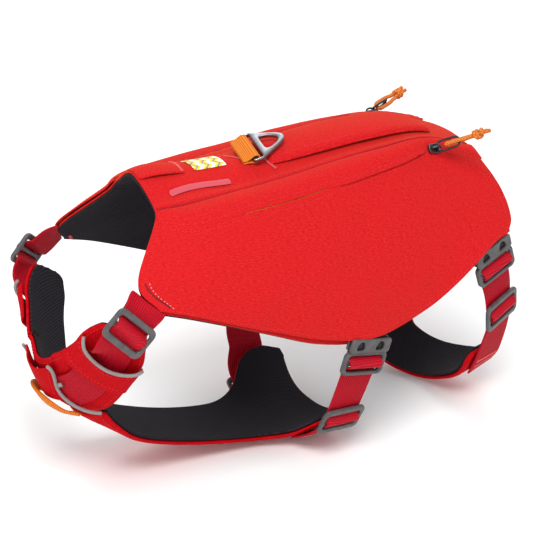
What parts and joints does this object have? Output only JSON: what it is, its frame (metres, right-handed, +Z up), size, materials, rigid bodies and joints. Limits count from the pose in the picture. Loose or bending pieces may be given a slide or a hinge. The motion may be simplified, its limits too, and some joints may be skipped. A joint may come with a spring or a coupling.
{
  "type": "dog harness",
  "caption": "Padded pack-style dog harness in its worn form, with side pockets, chest and belly straps, grab handle and leash ring.",
  "frame": {"origin": "the point on the lining's inner face, on the spine line under the leash ring, where the harness rests on the wearer's back", "axes": "+X from the chest to the tail, -Y to the wearer's left side, +Z up"},
  "size_m": [0.347, 0.168, 0.2174],
  "materials": {
    "face_cloth": "matt woven polyester face cloth, padded",
    "webbing": "ribbed flat webbing",
    "lining": "dark air-mesh lining",
    "piping": "grey reflective piping",
    "plastic": "moulded acetal buckle plastic",
    "metal": "brushed forged metal",
    "orange_web": "orange tubular webbing",
    "orange_cord": "braided orange cord",
    "label": null
  },
  "bodies": {
    "harness": {"arm_sleeve_left": "face_cloth", "arm_sleeve_right": "face_cloth", "back_label": "label", "belly_adjuster_left": "plastic", "belly_adjuster_right": "plastic", "belly_latch_left": "plastic", "belly_latch_right": "plastic", "belly_socket_left": "plastic", "belly_socket_right": "plastic", "belly_strap_left": "webbing", "belly_strap_right": "webbing", "belly_tab_left": "webbing", "belly_tab_right": "webbing", "chest_lining": "lining", "chest_panel": "face_cloth", "chest_piping_left": "piping", "chest_piping_right": "piping", "chest_shell": "face_cloth", "front_loop": "orange_web", "girth_lining": "lining", "girth_shell": "face_cloth", "grab_handle": "face_cloth", "pocket_face_left": "face_cloth", "pocket_face_right": "face_cloth", "rear_adjuster_left": "plastic", "rear_adjuster_right": "plastic", "rear_latch_left": "plastic", "rear_latch_right": "plastic", "rear_socket_left": "plastic", "rear_socket_right": "plastic", "rear_strap_left": "webbing", "rear_strap_right": "webbing", "rear_tab_left": "webbing", "rear_tab_right": "webbing", "ring_webbing": "orange_web", "saddle_lining": "lining", "saddle_shell": "face_cloth", "shoulder_adjuster_left": "plastic", "shoulder_adjuster_right": "plastic", "shoulder_strap_left": "webbing", "shoulder_strap_right": "webbing", "sleeve_piping_left": "piping", "sleeve_piping_right": "piping", "spine_tab": "face_cloth", "sternum_lining": "lining", "sternum_shell": "face_cloth", "zip_flap_left": "face_cloth", "zip_flap_right": "face_cloth", "zip_slider_left": "metal", "zip_slider_right": "metal", "zip_tape_left": "orange_cord", "zip_tape_right": "orange_cord"},
    "leash_ring": {"leash_ring": "metal"},
    "zip_pull_left": {"zip_pull_left": "metal", "pull_cord_left": "orange_cord", "pull_knot_left": "orange_cord"},
    "zip_pull_right": {"zip_pull_right": "metal", "pull_cord_right": "orange_cord", "pull_knot_right": "orange_cord"}
  },
  "joints": [
    {"name": "leash_ring_hinge", "type": "hinge", "parent": "harness", "child": "leash_ring", "pos_m": [0.003, -0.001, 0.0074], "axis": [-0.1494, -0.971, -0.1867], "range_deg": [-5, 105]},
    {"name": "zip_pull_left_hinge", "type": "hinge", "parent": "harness", "child": "zip_pull_left", "pos_m": [0.12822, -0.04071, -0.00319], "axis": [-0.0769, -0.5805, -0.8106], "range_deg": [-27, 53]},
    {"name": "zip_pull_right_hinge", "type": "hinge", "parent": "harness", "child": "zip_pull_right", "pos_m": [0.12822, 0.04071, -0.00319], "axis": [0.0769, -0.5805, 0.8106], "range_deg": [0, 85]}
  ]
}
